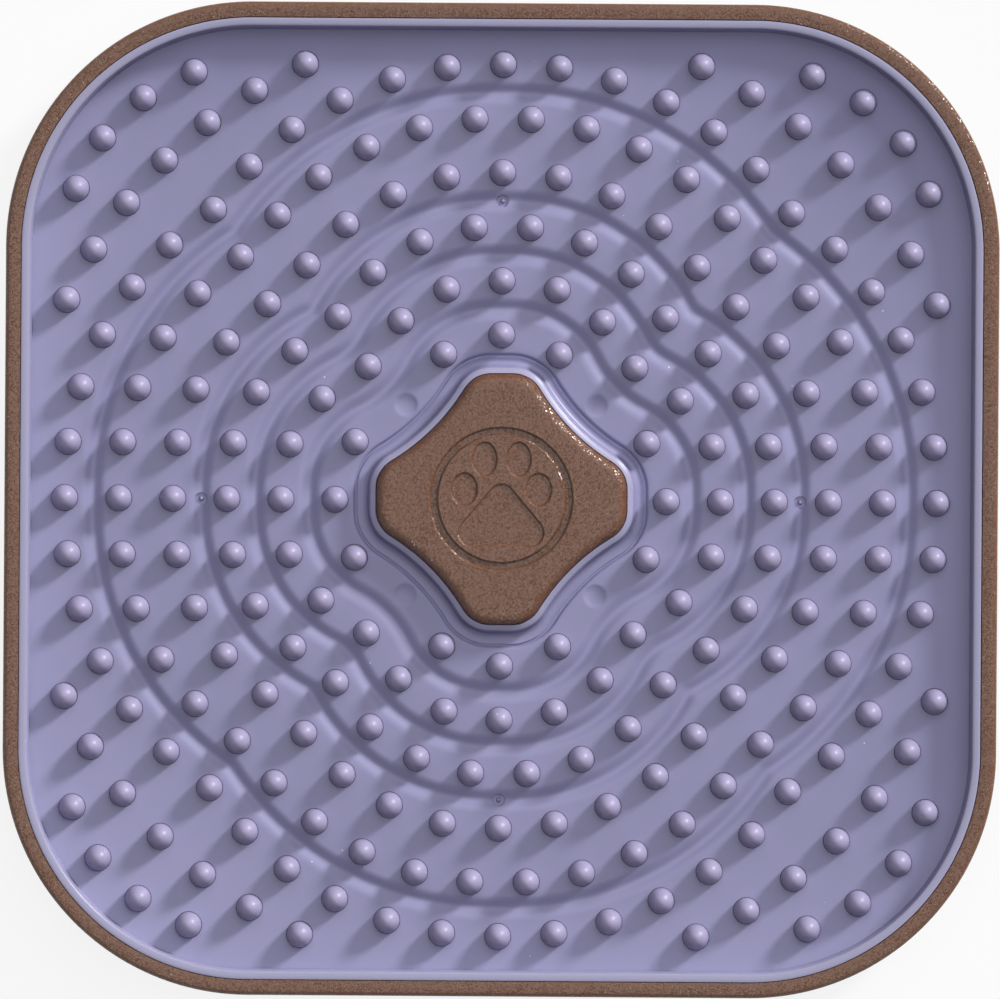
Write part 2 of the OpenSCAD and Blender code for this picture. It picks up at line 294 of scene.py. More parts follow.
def soften(piece, angle):
    mesh = piece.data
    mesh.polygons.foreach_set("use_smooth", [True] * len(mesh.polygons))
    mesh.set_sharp_from_angle(angle=math.radians(angle))


def dress(piece, material, body, node):
    piece.data.materials.clear()
    piece.data.materials.append(material)
    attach(piece, body)
    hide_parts(node)


# Camera, straight above the mat

view = {
    "distance": 2200.0,
    "width": 201.2,
    "east": -0.22,
    "north": 0.06,
    "roll": 0.39,
    "sensor": 36,
    "clipMetres": (0.1, 20),
}

camera = bpy.data.objects.new("camera", bpy.data.cameras.new("camera"))
bpy.context.scene.collection.objects.link(camera)
camera.location = (view["east"] * mm, view["north"] * mm, (view["distance"] + level["rim"]) * mm)
camera.rotation_euler = (0, 0, math.radians(view["roll"]))
camera.data.sensor_width = view["sensor"]
camera.data.lens = view["sensor"] * view["distance"] / view["width"]
camera.data.clip_start, camera.data.clip_end = view["clipMetres"]
bpy.context.scene.camera = camera

# Materials: each finish has its own values, in front of the function that builds it


def tinted(colour, factor):
    return (*[min(1.0, c * factor) for c in colour[:3]], 1)


def newMaterial(name):
    material = bpy.data.materials.new(name)
    material.use_nodes = True
    return material, Desk(material.node_tree)


def closeMaterial(desk, shader):
    desk.put("ShaderNodeOutputMaterial", None, {"Surface": shader})


def closePlastic(desk, colour, rough, bump, refraction):
    sockets = {"Base Color": colour, "Roughness": rough, "Normal": bump, "IOR": refraction}
    closeMaterial(desk, desk.put("ShaderNodeBsdfPrincipled", None, sockets))


def raised(desk, strength, metres, relief):
    return desk.put("ShaderNodeBump", None, {"Strength": strength, "Distance": metres, "Height": relief})


def objectPlace(desk):
    return desk.put("ShaderNodeTexCoord", None, None, 3)


def noise(desk, place, scale, detail, roughness=0.5):
    sockets = {"Vector": place, "Scale": scale, "Detail": detail, "Roughness": roughness}
    return desk.put("ShaderNodeTexNoise", None, sockets)


lavender = {
    "sheet": (0.249, 0.236, 0.390, 1),
    "sheetRoughness": 0.31,
    "nubs": (0.338, 0.302, 0.455, 1),
    "nubRoughness": 0.38,
    "refraction": 1.40,
    "cloudScale": 45.0,
    "cloudTones": (0.96, 1.04),
    "cloudRoughness": 0.06,
    # painted light: crest is the paler tone painted over the high parts of the plate's skin
    "crest": (0.50, 0.48, 0.60, 1),
    "crestPaintedLight": 0.34,
    "crestPaintedLightRise": (0.5, 3.0),
    "footShade": 1.0,
    "footTone": 0.1,
    "footRise": (0.15, 0.8),
    "dust": (0.82, 0.80, 0.84, 1),
    "dustScale": 190.0,
    "dustSize": 0.034,
    "dustPatchScale": 170.0,
    "dustPatchLevel": 0.60,
    "dustCover": 0.6,
    "dustRoughness": 0.3,
    "skinScale": 900.0,
    "waveScale": 130.0,
    "skinShare": 0.35,
    "waveShare": 0.65,
    "reliefStrength": 0.05,
    "reliefMetres": 0.0004,
}


def overHeight(desk, upwards, rise, low, high):
    # runs from one value to the other over a stretch of height above the sheet
    start, end = ((level["sheet"] + step) * mm for step in rise)
    return desk.put("ShaderNodeMapRange", None, {0: upwards, 1: start, 2: end, 3: low, 4: high})


def smoothPlastic(name, tone, roughness, footShade, crestPaintedLight):
    # satin lavender plastic with a faint cloudiness and a few specks of dust
    material, desk = newMaterial(name)
    place = objectPlace(desk)
    clouds = noise(desk, place, lavender["cloudScale"], 3.0)
    base = desk.blend(clouds, *[tinted(tone, factor) for factor in lavender["cloudTones"]])
    upwards = desk.put("ShaderNodeSeparateXYZ", None, {0: place}, 2)
    if crestPaintedLight:
        # painted light: the collar and the lip, which stand high above the sheet, are painted paler than the
        # sheet
        glow = overHeight(desk, upwards, lavender["crestPaintedLightRise"], 0.0, crestPaintedLight)
        base = desk.blend(glow, base, lavender["crest"])
    if footShade:
        # darker in the narrow flare where a nub meets the sheet
        shade = overHeight(desk, upwards, lavender["footRise"], footShade, 0.0)
        base = desk.blend(shade, base, tinted(tone, lavender["footTone"]))
    cells = {"Vector": place, "Scale": lavender["dustScale"], "Randomness": 1.0}
    dustSpot = desk.put("ShaderNodeTexVoronoi", None, cells)
    patches = noise(desk, place, lavender["dustPatchScale"], 0.0)
    dust = (dustSpot < lavender["dustSize"]) * (patches > lavender["dustPatchLevel"])
    colour = desk.blend(dust * lavender["dustCover"], base, lavender["dust"])
    rough = roughness + lavender["cloudRoughness"] * (clouds - 0.5) + lavender["dustRoughness"] * dust
    skin = noise(desk, place, lavender["skinScale"], 2.0)
    wave = noise(desk, place, lavender["waveScale"], 1.0)
    relief = skin * lavender["skinShare"] + wave * lavender["waveShare"]
    bump = raised(desk, lavender["reliefStrength"], lavender["reliefMetres"], relief)
    closePlastic(desk, colour, rough, bump, lavender["refraction"])
    return material


brown = {
    "tray": (0.148, 0.0575, 0.0245, 1),
    "cap": (0.152, 0.059, 0.026, 1),
    "roughness": 0.21,
    "refraction": 1.46,
    "grainScale": 3800.0,
    "grainTones": (0.78, 1.22),
    "grainTilt": 0.52,
    "grainRoughness": 0.1,
    "mottleScale": 3040.0,
    "mottleShare": 0.7,
    "castShare": 0.3,
    "glint": (0.55, 0.45, 0.38, 1),
    "glintLevel": 0.92,
    "glintCover": 0.15,
    "glintRoughness": 0.06,
    "shadedRing": (12.6, 14.6, level["cap"] - 0.38),  # inner and outer radius, and the height of its top
    "shadeTone": 0.72,
}


def sparklePlastic(name, colour, shadedRing=None):
    # brown plastic of tiny grains, each tilted its own way, some of them bright
    material, desk = newMaterial(name)
    place = objectPlace(desk)
    mottle = noise(desk, place, brown["mottleScale"], 1.0, 0.6)
    cells = {"Vector": place, "Scale": brown["grainScale"]}
    cast = desk.put("ShaderNodeTexVoronoi", None, cells, 1)
    middle = desk.put("ShaderNodeTexVoronoi", None, cells, 2)
    pick = desk.put("ShaderNodeSeparateColor", None, {"Color": cast})
    bright = pick > brown["glintLevel"]
    share = mottle * brown["mottleShare"] + pick * brown["castShare"]
    ground = desk.blend(share, *[tinted(colour, factor) for factor in brown["grainTones"]])
    if shadedRing:
        # little light reaches the floor of the narrow ring groove
        inner, outer, floor = shadedRing
        x, y, z = (desk.put("ShaderNodeSeparateXYZ", None, {0: place}, axis) for axis in range(3))
        radius = (x * x + y * y).calc("SQRT")
        within = (radius > inner * mm) * (radius < outer * mm) * (z < floor * mm)
        ground = desk.blend(within, ground, tinted(colour, brown["shadeTone"]))
    tint = desk.blend(bright * brown["glintCover"], ground, brown["glint"])
    rough = brown["roughness"] + brown["grainRoughness"] * (mottle - 0.5) - brown["glintRoughness"] * bright
    lean = desk.put("ShaderNodeVectorMath", {"operation": "SUBTRACT"}, {0: cast, 1: (0.5, 0.5, 0.5)})
    inside = desk.put("ShaderNodeVectorMath", {"operation": "SUBTRACT"}, {0: place, 1: middle})
    facet = desk.put("ShaderNodeVectorMath", {"operation": "DOT_PRODUCT"}, {0: lean, 1: inside}, 1)
    closePlastic(desk, tint, rough, raised(desk, 1.0, brown["grainTilt"], facet), brown["refraction"])
    return material


rubber = {
    "colour": (0.022, 0.019, 0.018, 1),
    "roughness": 0.72,
    "refraction": 1.5,
    "grainScale": 1400.0,
    "scuffScale": 90.0,
    "scuffTones": (0.8, 1.7),
    "scuffRoughness": 0.15,
    "reliefStrength": 0.25,
    "reliefMetres": 0.0001,
}


def softRubber():
    # matt black rubber, scuffed in patches
    material, desk = newMaterial("footRubber")
    place = objectPlace(desk)
    grain = noise(desk, place, rubber["grainScale"], 3.0, 0.6)
    scuff = noise(desk, place, rubber["scuffScale"], 4.0, 0.6)
    colour = desk.blend(scuff, *[tinted(rubber["colour"], factor) for factor in rubber["scuffTones"]])
    rough = rubber["roughness"] + rubber["scuffRoughness"] * (scuff - 0.5)
    bump = raised(desk, rubber["reliefStrength"], rubber["reliefMetres"], grain)
    closePlastic(desk, colour, rough, bump, rubber["refraction"])
    return material


lavenderPlastic = smoothPlastic("lavenderPlastic", lavender["sheet"], lavender["sheetRoughness"],
                                0.0, lavender["crestPaintedLight"])
nubPlastic = smoothPlastic("nubPlastic", lavender["nubs"], lavender["nubRoughness"],
                           lavender["footShade"], 0.0)
trayPlastic = sparklePlastic("trayBrownPlastic", brown["tray"])
capPlastic = sparklePlastic("capBrownPlastic", brown["cap"], brown["shadedRing"])
footRubber = softRubber()
print("materials ready")

# Plate: one skin that runs from the collar over the grooved sheet to the lip and back underneath

plate = {
    "stations": 640,
    "place": (-0.09, -0.14),
    "collarShift": (0.16, 0.255),
    "lipShift": (0.05, 0.105),
    "half": 96.77,
    "moatDepth": 0.35,
    "creaseDepth": 0.55,
    "shiftWidth": 1.4,
    "shiftEnd": 3.4,
    "lipWidth": 2.08,
    "lipDraft": 0.44,
    "grooveWidth": 5.6,
    "grooveDepth": 0.78,
    "grooveSpread": 0.36,
    "grooveShift": 0.25,
    "grooveRows": 21,
    "firstRing": 33.4,
    "ringPitch": 10.9,
    "rings": 6,
    "groovesAfter": (0, 1, 2, 4),
    "dishWidth": 4.6,
    "dishDepth": 0.42,
    "dishRoundness": 0.8,
    "dishMargin": 0.1,
    "dishRows": 17,
    "pegWidth": 4.6,
    "pegLength": 2.4,
    "pegChamfer": 0.4,
    "pegSides": 48,
    "gateWidth": 2.5,
    "gateDepth": 0.4,
    "gateTaper": 0.1,
    "gateSides": 40,
    "beadWidth": 1.1,
    "beadSides": 24,
    "chamfer": 0.15,
    "sharpAngle": 32,
}
ringGrow = [plate["firstRing"] - waves["reach"] + k * plate["ringPitch"] for k in range(plate["rings"])]
grooveGrow = [ringGrow[k] + plate["ringPitch"] / 2 - plate["grooveShift"] for k in plate["groovesAfter"]]
pegPlace = wavyPoint(waves, 1.0, ringGrow[0])
pegPlaces = [(east * pegPlace[0], north * pegPlace[1]) for east in (-1, 1) for north in (-1, 1)]


def collarLoops(count):
    # a stepped crest, a steep side, a shallow moat below the sheet and a crease outside it
    top, floor, seat = level["collar"], level["sheet"], level["seat"]
    section = [(0.14, seat), (0.02, seat + plate["chamfer"]), (0.0, top - 0.3), (0.01, top - 0.1)]
    crest = [(0.03, 0.04), (0.07, 0.0), (0.34, 0.10), (0.56, 0.18), (0.68, 0.28), (0.84, 0.35), (1.02, 0.46)]
    crest += [(1.12, 0.56), (1.20, 0.74), (1.26, 1.0)]
    section += [(grow, top - drop) for grow, drop in crest]
    side = [(1.32, 2.0), (1.40, 1.1), (1.48, 0.62), (1.58, 0.3), (1.70, 0.05)]
    section += [(grow, floor + rise) for grow, rise in side]
    moat = [(1.85, 0.3), (2.05, 0.65), (2.35, 0.92), (2.70, 1.0), (3.00, 0.88), (3.30, 0.64), (3.56, 0.42)]
    section += [(grow, floor - plate["moatDepth"] * share) for grow, share in moat]
    crease = [(3.60, 0.34), (3.63, 0.85), (3.72, 1.0), (3.95, 1.0), (4.05, 0.82), (4.16, 0.5), (4.32, 0.22)]
    crease += [(4.48, 0.07), (4.66, 0.0)]
    section += [(grow, floor - plate["creaseDepth"] * share) for grow, share in crease]
    loops = []
    for grow, z in section:
        # the collar sits a little off the middle of the sheet, and the moat takes up the difference
        share = min(1.0, max(0.0, (plate["shiftEnd"] - grow) / plate["shiftWidth"]))
        east, north = (share * way for way in plate["collarShift"])
        loops.append([(x + east, y + north, z) for x, y, z in wavyLoop(star, count, grow, z)])
    return loops


def sheetLoops(count):
    # narrow rows where the dishes lie, then the rows of each groove; the loft spans the flat parts between
    half = plate["grooveWidth"] / 2
    dishRadius = plate["dishWidth"] / 2
    reach = dishRadius + plate["dishMargin"]
    rows = [(ringGrow[0] + reach * share, 0.0) for share in np.linspace(-1, 1, plate["dishRows"])]
    for middle in grooveGrow:
        for share in np.linspace(-1, 1, plate["grooveRows"]):
            depth = math.exp(-0.5 * (share / plate["grooveSpread"]) ** 2) * (1 - share ** 4)
            rows.append((middle + share * half, plate["grooveDepth"] * depth))
    loops = []
    for grow, drop in rows:
        loop = []
        for x, y, z in wavyLoop(waves, count, grow, level["sheet"] - drop):
            away = math.hypot(abs(x) - pegPlace[0], abs(y) - pegPlace[1]) / dishRadius
            depth = (1.0 - away ** 2) ** plate["dishRoundness"] if away < 1 else 0.0
            loop.append((x, y, z - plate["dishDepth"] * depth))
        loops.append(loop)
    return loops


def lipLoops(count):
    foot = plate["half"] - plate["lipWidth"]
    crest = foot + plate["lipDraft"]
    outer = plate["half"]
    floor, top = level["sheet"], level["lip"]
    chamfer = plate["chamfer"]
    inside = [(-0.14, 0.0), (-0.03, 0.05), (0.0, 0.15), (0.05, 0.5)]
    section = [(foot + out, floor + rise) for out, rise in inside]
    crown = [(-0.14, 1.0), (-0.05, 0.5), (0.02, 0.3), (0.12, 0.17), (0.28, 0.1), (0.58, 0.05), (0.98, 0.015)]
    section += [(crest + out, top - drop) for out, drop in crown]
    section += [(outer - inwards, top - drop) for inwards, drop in ((0.12, 0.0), (0.03, 0.03), (0.0, 0.12))]
    section += [(outer, level["seat"] + chamfer), (outer - chamfer, level["seat"])]
    east, north = plate["lipShift"]
    return [[(x + east, y + north, z) for x, y, z in squareLoop(count, half, z)] for half, z in section]


def makePlate():
    count = plate["stations"]
    piece = loft("lickPlateSheet", collarLoops(count) + sheetLoops(count) + lipLoops(count))
    # four round moulding marks in the third groove, each a pit with a bead in it
    away = waves["reach"] + grooveGrow[2]
    gates = [(away, 0.0), (0.0, away), (-away, 0.0), (0.0, -away)]
    radius, taper = plate["gateWidth"] / 2, plate["gateTaper"]
    pit = level["sheet"] - plate["grooveDepth"] - plate["gateDepth"]
    section = [(radius - taper, pit), (radius, pit + 2 * taper), (radius, level["sheet"] + overcut)]
    pits = [lathe("pit", section, plate["gateSides"], place, False) for place in gates]
    combine(piece, pits, "DIFFERENCE")
    bead = plate["beadWidth"] / 2
    arc = [(bead * math.cos(a), pit + bead * math.sin(a)) for a in np.radians([-60, -30, 0, 30, 60, 82])]
    beads = [lathe("bead", arc, plate["beadSides"], place, False) for place in gates]
    # four pegs below the dishes
    radius, chamfer = plate["pegWidth"] / 2, plate["pegChamfer"]
    end = level["seat"] - plate["pegLength"]
    section = [(radius - chamfer, end), (radius, end + chamfer), (radius, level["seat"] + overlap)]
    pegs = [lathe("peg", section, plate["pegSides"], place, False) for place in pegPlaces]
    combine(piece, beads + pegs, "UNION")
    shift(piece, plate["place"])
    soften(piece, plate["sharpAngle"])
    dress(piece, lavenderPlastic, "plate", "lick_plate")


makePlate()
print("plate ready")

# Nubs: domes set out on grown star outlines and in two rows at each corner

nubs = {
    "diameter": 5.2,
    "height": 4.2,
    "wall": 0.7,
    "flareWidth": 0.2,
    "flareHeight": 0.3,
    "sides": 20,
    "bands": 7,
    "cornerPitch": 11.5,
    "innerRowCount": 7,
    "innerRowRadius": 96.4,
    "outerRowCount": 4,
    "outerRowRadius": 37.4,
    "firstRingCount": 16,
    "nextRingCount": 24,
    "ringCountStep": 6,
    "domeAngle": 83,
    "sharpAngle": 50,
}


def nubPlaces():
    # rings on the grown outlines first, then the two rows of each corner
    places = []
    for k, grow in enumerate(ringGrow):
        total = nubs["firstRingCount"] if k == 0 else nubs["nextRingCount"] + (k - 1) * nubs["ringCountStep"]
        for i in range(total):
            if k == 0 and i % 4 == 2:
                continue  # a dish lies here instead
            places.append(wavyPoint(waves, 8 * i / total, grow))
    # the inner row bends round the mat's middle, the outer one round the middle of the corner
    corner = mat["halfWidth"] - mat["cornerRadius"]
    rows = [(nubs["innerRowCount"], nubs["innerRowRadius"], 0.0)]
    rows.append((nubs["outerRowCount"], nubs["outerRowRadius"], corner))
    for quarter in range(4):
        for total, radius, middle in rows:
            step = 2 * math.asin(nubs["cornerPitch"] / 2 / radius)
            for i in range(total):
                angle = math.pi / 4 + (i - (total - 1) / 2) * step
                x, y = middle + radius * math.cos(angle), middle + radius * math.sin(angle)
                places.append(turnedBack(x, y, quarter, False))
    return places


def nubTree():
    # a dome with a flare at its foot, made from a tube's rows of points and set on every given point
    tree = bpy.data.node_groups.new("nubsOnPoints", "GeometryNodeTree")
    kinds = {
        "Places": "Geometry",
        "Radius": "Float",
        "Height": "Float",
        "Wall": "Float",
        "Flare Width": "Float",
        "Flare Height": "Float",
        "Dome Angle": "Float",
        "Sides": "Int",
        "Bands": "Int",
        "Material": "Material",
    }
    for name, kind in kinds.items():
        tree.interface.new_socket(name, in_out="INPUT", socket_type="NodeSocket" + kind)
    tree.interface.new_socket("Nubs", in_out="OUTPUT", socket_type="NodeSocketGeometry")
    desk = Desk(tree)
    given = desk.put("NodeGroupInput").socket.node
    wires = {socket.name: Wire(desk, socket) for socket in given.outputs if socket.name}
    radius, height, bands = wires["Radius"], wires["Height"], wires["Bands"]
    post = {"Vertices": wires["Sides"], "Side Segments": bands, "Radius": radius, "Depth": 1.0}
    tube = desk.put("GeometryNodeMeshCylinder", {"fill_type": "NGON"}, post)
    place = desk.put("GeometryNodeInputPosition")
    parts = [desk.put("ShaderNodeSeparateXYZ", None, {0: place}, axis) for axis in range(3)]
    # the rows, counted upwards from 0: the foot of the flare, its top, then the dome
    row = (parts[2] + 0.5) * bands
    onFoot = row < 0.5
    onFlare = row < 1.5
    dome = desk.put("ShaderNodeMapRange", None, {0: row, 1: 2.0, 2: bands, 3: 0.0, 4: wires["Dome Angle"]})
    wall = wires["Wall"]
    rise = dome.calc("SINE") * (height - wall) + wall
    z = rise * (1.0 - onFlare) + wires["Flare Height"] * (onFlare - 1.5 * onFoot)
    narrow = dome.calc("COSINE") + onFoot * (wires["Flare Width"] / radius)
    moved = desk.put("ShaderNodeCombineXYZ", None, {0: parts[0] * narrow, 1: parts[1] * narrow, 2: z})
    domed = desk.put("GeometryNodeSetPosition", None, {"Geometry": tube, "Position": moved})
    points = desk.put("GeometryNodeMeshToPoints", None, {"Mesh": wires["Places"]})
    spread = desk.put("GeometryNodeInstanceOnPoints", None, {"Points": points, "Instance": domed})
    real = desk.put("GeometryNodeRealizeInstances", None, {"Geometry": spread})
    smooth = desk.put("GeometryNodeSetShadeSmooth", None, {"Geometry": real})
    done = desk.put("GeometryNodeSetMaterial", None, {"Geometry": smooth, "Material": wires["Material"]})
    desk.put("NodeGroupOutput", None, {"Nubs": done})
    return tree


def makeNubs():
    points = [(x, y, level["sheet"]) for x, y in nubPlaces()]
    piece = meshObject("lickPlateNubs", points, [])
    tree = nubTree()
    step = piece.modifiers.new("nubs", "NODES")
    step.node_group = tree
    values = {
        "Radius": nubs["diameter"] / 2 * mm,
        "Height": nubs["height"] * mm,
        "Wall": nubs["wall"] * mm,
        "Flare Width": nubs["flareWidth"] * mm,
        "Flare Height": nubs["flareHeight"] * mm,
        "Dome Angle": math.radians(nubs["domeAngle"]),
        "Sides": nubs["sides"],
        "Bands": nubs["bands"],
        "Material": nubPlastic,
    }
    for item in tree.interface.items_tree:
        if item.name in values:
            step[item.identifier] = values[item.name]
    bake(piece)
    shift(piece, plate["place"])
    soften(piece, nubs["sharpAngle"])
    dress(piece, nubPlastic, "plate", "lick_plate")
    return piece


nubPiece = makeNubs()
print("nubs ready:", len(nubPiece.data.vertices), "points")

# Cap: the star in the middle, hollow below, with the ring and the paw let into its top

cap = {
    "stations": 480,
    "place": (0.07, 0.115),
    "emblemShift": (0.07, 0.21),
    "gap": 0.05,
    "wall": 2.2,
    "rounding": 2.0,
    "roundingRows": 12,
    "innerFlat": 2.6,
    "topFlat": 3.2,
    "chamfer": 0.15,
    "ringRadius": 14.3,
    "ringWidth": 1.4,
    "ringSides": 160,
    "depth": 0.5,
    "stemRadius": 6.0,
    "stemWall": 1.8,
    "stemSides": 72,
    "slot": 1.6,
    "barb": 0.5,
    "sharpAngle": 28,
}
# the paw's places and radii are shares of the ring's radius
paw = {
    "toes": [((0.24, 0.556), (0.338, 0.473)), ((0.523, 0.13), (0.357, 0.453))],
    "padTop": 0.03,
    "padTopRadius": 0.175,
    "padSide": (0.395, -0.475),
    "padSideRadius": 0.2,
    "hollowRadius": 1.4,
    "hollowPlace": -2.035,
    "toePoints": 48,
    "circlePoints": 72,
    "tautPoints": 160,
    "padPoints": 120,
}


def toeOutline(side, centre, size):
    radius = cap["ringRadius"]
    count = paw["toePoints"]
    outline = []
    for i in range(count):
        angle = fullTurn * i / count
        x = side * centre[0] + size[0] / 2 * math.cos(angle)
        y = centre[1] + size[1] / 2 * math.sin(angle)
        outline.append((radius * x, radius * y))
    return outline


def hullOf(points):
    # the points' convex outline, anticlockwise
    points = sorted(points)
    chains = []
    for ordered in (points, points[::-1]):
        chain = []
        for p in ordered:
            while len(chain) > 1:
                (ax, ay), (bx, by) = chain[-2], chain[-1]
                if (bx - ax) * (p[1] - ay) - (by - ay) * (p[0] - ax) > 1e-9:
                    break  # a turn to the left
                chain.pop()
            chain.append(p)
        chains += chain[:-1]
    return chains


def evenly(outline, count):
    # the outline again, with its points at equal distances
    loop = np.array(outline + outline[:1])
    along = np.concatenate([[0], np.cumsum(np.hypot(*np.diff(loop, axis=0).T))])
    wanted = np.linspace(0, along[-1], count, endpoint=False)
    return list(zip(np.interp(wanted, along, loop[:, 0]), np.interp(wanted, along, loop[:, 1])))


def padOutline():
    # three circles with a taut line round them, hollowed from below by a large circle
    radius = cap["ringRadius"]
    circles = [(0.0, paw["padTop"], paw["padTopRadius"])]
    circles += [(side * paw["padSide"][0], paw["padSide"][1], paw["padSideRadius"]) for side in (-1, 1)]
    points = []
    for x, y, r in circles:
        points += [((x + r * math.cos(a)) * radius, (y + r * math.sin(a)) * radius)
                   for a in np.linspace(0, fullTurn, paw["circlePoints"], endpoint=False)]
    outline = evenly(hullOf(points), paw["tautPoints"])
    big, low = paw["hollowRadius"] * radius, paw["hollowPlace"] * radius
    hollowed = [(x, max(y, low + math.sqrt(big * big - x * x))) for x, y in outline]
    return evenly(hollowed, paw["padPoints"])


def grown(outline, distance):
    # each point moved outwards, square to the line between its neighbours
    loop = np.array(outline)
    way = np.roll(loop, -1, axis=0) - np.roll(loop, 1, axis=0)
    way /= np.hypot(*way.T)[:, None]
    return loop + distance * np.stack([way[:, 1], -way[:, 0]], axis=1)


def emblemTools():
    top = level["cap"]
    bottom = top - cap["depth"]
    steps = [(-0.14, bottom), (-0.11, bottom + 0.04), (-0.03, top - 0.24), (0.20, top - 0.04)]
    steps += [(0.27, top), (0.27, top + overcut)]
    outlines = [padOutline()]
    outlines += [toeOutline(side, centre, size) for side in (-1, 1) for centre, size in paw["toes"]]
    tools = []
    for outline in outlines:
        loops = [[(x, y, z) for x, y in grown(outline, out)] for out, z in steps]
        tools.append(loft("emblemTool", loops, False))
    outer = cap["ringRadius"]
    inner = outer - cap["ringWidth"]
    section = [(outer + out, z) for out, z in steps] + [(inner - out, z) for out, z in reversed(steps)]
    tools.append(lathe("emblemTool", section, cap["ringSides"]))
    for tool in tools:
        shift(tool, cap["emblemShift"])
    return tools


def makeCap():
    # from the middle of the hollow's ceiling down the inside, up the outside and over the rounded edge
    count = cap["stations"]
    top, foot = level["cap"], level["trayFloor"]
    outside = -cap["gap"]
    inside = outside - cap["wall"]
    ceiling = top - cap["wall"]
    rounding, chamfer, barb = cap["rounding"], cap["chamfer"], cap["barb"]
    loops = [wavyLoop(star, count, inside - cap["innerFlat"], ceiling, shrink) for shrink in (0.05, 0.4, 1)]
    loops += [wavyLoop(star, count, inside, z) for z in (ceiling, foot)]
    loops += [wavyLoop(star, count, outside - chamfer, foot), wavyLoop(star, count, outside, foot + chamfer)]
    for angle in np.linspace(0, math.pi / 2, cap["roundingRows"]):
        inwards = rounding * (1 - math.cos(angle))
        loops.append(wavyLoop(star, count, outside - inwards, top - rounding * (1 - math.sin(angle))))
    loops += [wavyLoop(star, count, outside - cap["topFlat"], top, shrink) for shrink in (1, 0.6, 0.05)]
    piece = loft("starCap", loops, False)
    shift(piece, cap["place"])
    # the stem, split crosswise so that its barb can pass the tray's hole
    stem = cap["stemRadius"]
    bore = stem - cap["stemWall"]
    end = level["underFloor"] - 2 * barb
    section = [(bore, end), (stem - barb, end), (stem + barb, end + 2 * barb), (stem, end + 2 * barb)]
    section += [(stem, ceiling + overlap), (bore, ceiling + overlap)]
    post = lathe("stem", section, cap["stemSides"])
    low = (-2 * stem, -cap["slot"] / 2, end - overcut)
    high = (2 * stem, cap["slot"] / 2, level["seat"])
    for turn in (0, math.pi / 2):
        combine(post, [boxPiece("slot", low, high, turn)], "DIFFERENCE")
    combine(piece, [post], "UNION")
    combine(piece, emblemTools(), "DIFFERENCE")
    soften(piece, cap["sharpAngle"])
    dress(piece, capPlastic, "tray", "star_cap")


makeCap()
print("cap ready")

# Tray: floor, wall and rim in one skin, with its ribs, sockets and cups

tray = {
    "stations": 480,
    "rimWidth": 3.1,
    "rimRounding": 0.8,
    "ledge": 4.4,
    "ribWidth": 1.6,
    "seatRings": (44.0, 72.0),
    "underRings": (86.0, 58.0, 30.0),
    "holeRadius": 6.1,
    "hubRadius": 7.6,
    "cupRadius": 10.1,
    "cupSides": 72,
    "footPlace": 66.0,
    "socketRadius": 2.5,
    "socketWall": 1.6,
    "socketRoom": 0.2,
    "socketMiddle": 0.3,
    "socketSides": 48,
    "skirtChamfer": 0.4,
    "sharpAngle": 28,
}


def trayLoops():
    # from the hole over the floor and its seat rings to the rim, down its outside and back underneath
    count = tray["stations"]
    names = ("trayFloor", "seat", "underFloor", "skirt", "rim")
    floor, seat, under, skirt, top = (level[name] for name in names)
    half = mat["halfWidth"]
    inner = half - tray["rimWidth"]
    rib = tray["ribWidth"] / 2
    loops = [circleLoop(count, tray["holeRadius"], z) for z in (under, floor)]
    for ring in tray["seatRings"]:
        section = [(ring - rib, floor), (ring - rib, seat), (ring + rib, seat), (ring + rib, floor)]
        loops += [circleLoop(count, r, z) for r, z in section]
    ledge = inner - tray["ledge"]
    section = [(ledge, floor), (ledge, seat), (inner, seat)]
    crown = [(0.0, 0.18), (0.04, 0.13), (0.3, 0.1), (0.7, 0.05), (1.2, 0.01), (1.5, 0.0)]
    section += [(inner + out, top - drop) for out, drop in crown]
    edge, chamfer = tray["rimRounding"], tray["skirtChamfer"]
    shares = [(1.05, 0.01), (0.85, 0.05), (0.62, 0.18), (0.36, 0.42), (0.16, 0.66), (0.05, 0.9), (0, 1.2)]
    section += [(half - edge * inwards, top - edge * drop) for inwards, drop in shares]
    section += [(half, skirt + chamfer), (half - chamfer, skirt), (inner, skirt), (inner, under)]
    loops += [squareLoop(count, r, z) for r, z in section]
    for ring in tray["underRings"]:
        section = [(ring + rib, under), (ring + rib, skirt), (ring - rib, skirt), (ring - rib, under)]
        loops += [circleLoop(count, r, z) for r, z in section]
    hub = tray["hubRadius"]
    section = [(hub + 2 * rib, under), (hub + 2 * rib, skirt), (hub, skirt), (hub, under)]
    loops += [circleLoop(count, r, z) for r, z in section]
    return loops


